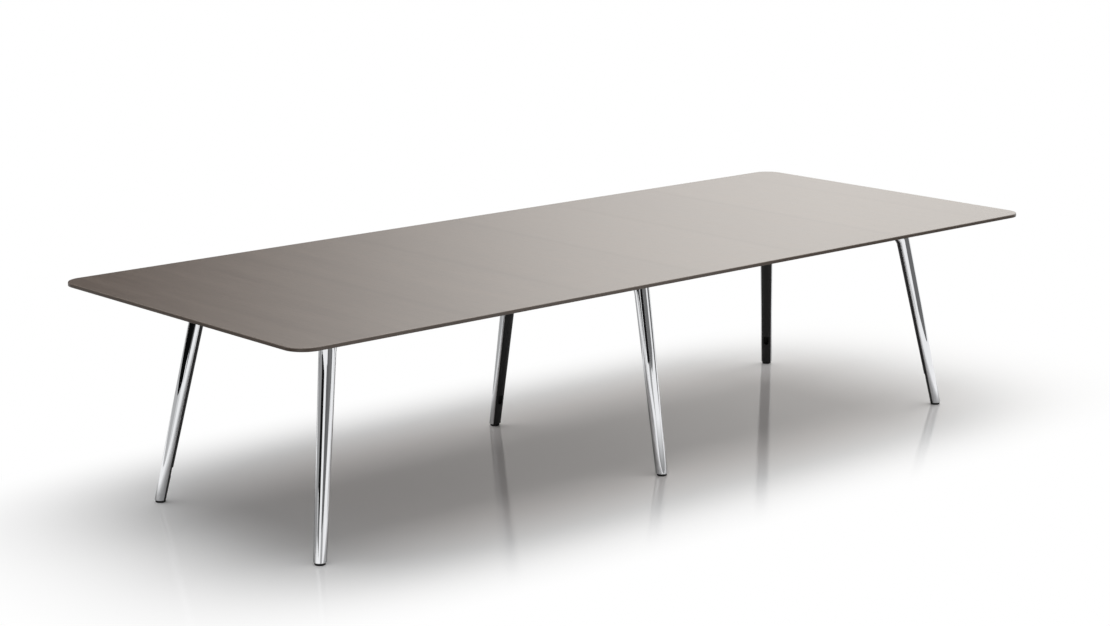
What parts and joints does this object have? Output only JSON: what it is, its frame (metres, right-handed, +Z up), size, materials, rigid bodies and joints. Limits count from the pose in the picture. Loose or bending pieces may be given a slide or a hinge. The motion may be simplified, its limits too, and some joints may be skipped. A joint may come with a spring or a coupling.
{
  "type": "conference table",
  "caption": "Long conference table: a thin veneered top with a dark edge on splayed polished legs with black cable covers, a bolted steel frame under it and screw glides in the feet.",
  "frame": {"origin": "on the floor, under the middle of the top", "axes": "+X along the table's length, +Y across it to the back, +Z up from the floor"},
  "size_m": [3.3, 1.3, 0.735],
  "materials": {
    "board": "matte",
    "veneer": "satin",
    "edge": "satin",
    "backing": "matte",
    "steel": "satin",
    "rail": "matte",
    "polished_metal": "polished",
    "cover": "matte",
    "pad": "matte"
  },
  "bodies": {
    "table": {"tabletop_core": "board", "tabletop_veneer": "veneer", "edge_band": "edge", "backing_sheet": "backing", "top_inserts": "steel", "top_screws": "steel", "side_rail_front": "rail", "side_rail_back": "rail", "cross_rail_left": "rail", "cross_rail_middle": "rail", "cross_rail_right": "rail", "leg_bolts": "steel", "leg_washers": "steel", "leg_nuts": "steel", "glide_bushes": "steel", "leg_front_left": "polished_metal", "leg_cover_front_left": "cover", "bend_cover_front_left": "cover", "foot_cover_front_left": "cover", "leg_front_middle": "polished_metal", "leg_cover_front_middle": "cover", "bend_cover_front_middle": "cover", "foot_cover_front_middle": "cover", "leg_front_right": "polished_metal", "leg_cover_front_right": "cover", "bend_cover_front_right": "cover", "foot_cover_front_right": "cover", "leg_back_left": "polished_metal", "leg_cover_back_left": "cover", "bend_cover_back_left": "cover", "foot_cover_back_left": "cover", "leg_back_middle": "polished_metal", "leg_cover_back_middle": "cover", "bend_cover_back_middle": "cover", "foot_cover_back_middle": "cover", "leg_back_right": "polished_metal", "leg_cover_back_right": "cover", "bend_cover_back_right": "cover", "foot_cover_back_right": "cover"},
    "pad_front_left": {"glide_pad_front_left": "pad"},
    "stem_front_left": {"glide_stem_front_left": "steel"},
    "pad_front_middle": {"glide_pad_front_middle": "pad"},
    "stem_front_middle": {"glide_stem_front_middle": "steel"},
    "pad_front_right": {"glide_pad_front_right": "pad"},
    "stem_front_right": {"glide_stem_front_right": "steel"},
    "pad_back_left": {"glide_pad_back_left": "pad"},
    "stem_back_left": {"glide_stem_back_left": "steel"},
    "pad_back_middle": {"glide_pad_back_middle": "pad"},
    "stem_back_middle": {"glide_stem_back_middle": "steel"},
    "pad_back_right": {"glide_pad_back_right": "pad"},
    "stem_back_right": {"glide_stem_back_right": "steel"}
  },
  "joints": [
    {"name": "glide_front_left_drop", "type": "slide", "parent": "table", "child": "pad_front_left", "axis": [0, 0, -1], "range_m": [0, 0.012]},
    {"name": "glide_front_left_turn", "type": "hinge", "parent": "pad_front_left", "child": "stem_front_left", "pos_m": [-1.436, -0.436, 0], "axis": [0, 0, -1], "range_deg": [0, 2880]},
    {"name": "glide_front_middle_drop", "type": "slide", "parent": "table", "child": "pad_front_middle", "axis": [0, 0, -1], "range_m": [0, 0.012]},
    {"name": "glide_front_middle_turn", "type": "hinge", "parent": "pad_front_middle", "child": "stem_front_middle", "pos_m": [0, -0.436, 0], "axis": [0, 0, -1], "range_deg": [0, 2880]},
    {"name": "glide_front_right_drop", "type": "slide", "parent": "table", "child": "pad_front_right", "axis": [0, 0, -1], "range_m": [0, 0.012]},
    {"name": "glide_front_right_turn", "type": "hinge", "parent": "pad_front_right", "child": "stem_front_right", "pos_m": [1.436, -0.436, 0], "axis": [0, 0, -1], "range_deg": [0, 2880]},
    {"name": "glide_back_left_drop", "type": "slide", "parent": "table", "child": "pad_back_left", "axis": [0, 0, -1], "range_m": [0, 0.012]},
    {"name": "glide_back_left_turn", "type": "hinge", "parent": "pad_back_left", "child": "stem_back_left", "pos_m": [-1.436, 0.436, 0], "axis": [0, 0, -1], "range_deg": [0, 2880]},
    {"name": "glide_back_middle_drop", "type": "slide", "parent": "table", "child": "pad_back_middle", "axis": [0, 0, -1], "range_m": [0, 0.012]},
    {"name": "glide_back_middle_turn", "type": "hinge", "parent": "pad_back_middle", "child": "stem_back_middle", "pos_m": [0, 0.436, 0], "axis": [0, 0, -1], "range_deg": [0, 2880]},
    {"name": "glide_back_right_drop", "type": "slide", "parent": "table", "child": "pad_back_right", "axis": [0, 0, -1], "range_m": [0, 0.012]},
    {"name": "glide_back_right_turn", "type": "hinge", "parent": "pad_back_right", "child": "stem_back_right", "pos_m": [1.436, 0.436, 0], "axis": [0, 0, -1], "range_deg": [0, 2880]}
  ],
  "couplings": [
    {"joint": "glide_front_left_turn", "follows": "glide_front_left_drop", "rad_per_m": 4188.8},
    {"joint": "glide_front_middle_turn", "follows": "glide_front_middle_drop", "rad_per_m": 4188.8},
    {"joint": "glide_front_right_turn", "follows": "glide_front_right_drop", "rad_per_m": 4188.8},
    {"joint": "glide_back_left_turn", "follows": "glide_back_left_drop", "rad_per_m": 4188.8},
    {"joint": "glide_back_middle_turn", "follows": "glide_back_middle_drop", "rad_per_m": 4188.8},
    {"joint": "glide_back_right_turn", "follows": "glide_back_right_drop", "rad_per_m": 4188.8}
  ]
}
